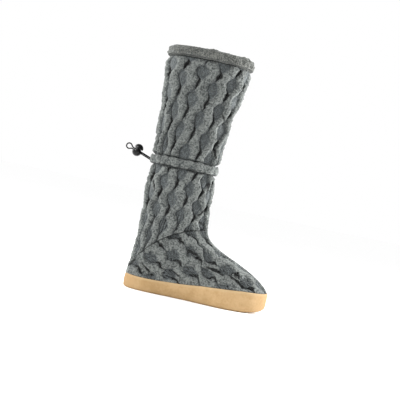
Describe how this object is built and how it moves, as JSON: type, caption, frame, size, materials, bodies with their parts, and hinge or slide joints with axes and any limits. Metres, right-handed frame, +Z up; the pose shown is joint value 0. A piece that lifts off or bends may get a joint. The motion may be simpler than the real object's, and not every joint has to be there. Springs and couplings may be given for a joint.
{
  "type": "slipper sock",
  "caption": "Tall cable-knit slipper sock with a rolled cuff, a drawstring casing with a cord lock at mid shaft, and a suede-wrapped cup sole.",
  "frame": {"origin": "on the floor under the sole, on the centre line at the middle of the sole's length, which is the sole_rest mount", "axes": "+X from heel to toe, +Y from the outer side of the foot to the inner side, +Z up the shaft"},
  "size_m": [0.3005, 0.1084, 0.432],
  "materials": {
    "suede": "napped suede, matte",
    "lining": "brushed fleece, matte",
    "knit": "heather grey cable knit, matte",
    "cuff_knit": "heather grey plain knit, matte",
    "cord": "braided elastic, matte",
    "lock_plastic": "moulded, glossy"
  },
  "bodies": {
    "boot": {"sole": "suede", "insole": "lining", "foot_upper": "knit", "shaft": "knit", "rolled_cuff": "cuff_knit", "drawstring_casing": "cuff_knit", "drawcord": "cord", "toggle_barrel": "lock_plastic"},
    "button": {"toggle_button": "lock_plastic"}
  },
  "joints": [
    {"name": "button_press", "type": "slide", "parent": "boot", "child": "button", "axis": [-0.342, 0, -0.9397], "range_m": [0, 0.0022], "stiffness_N_per_m": 1500, "springref_m": -0.002}
  ]
}
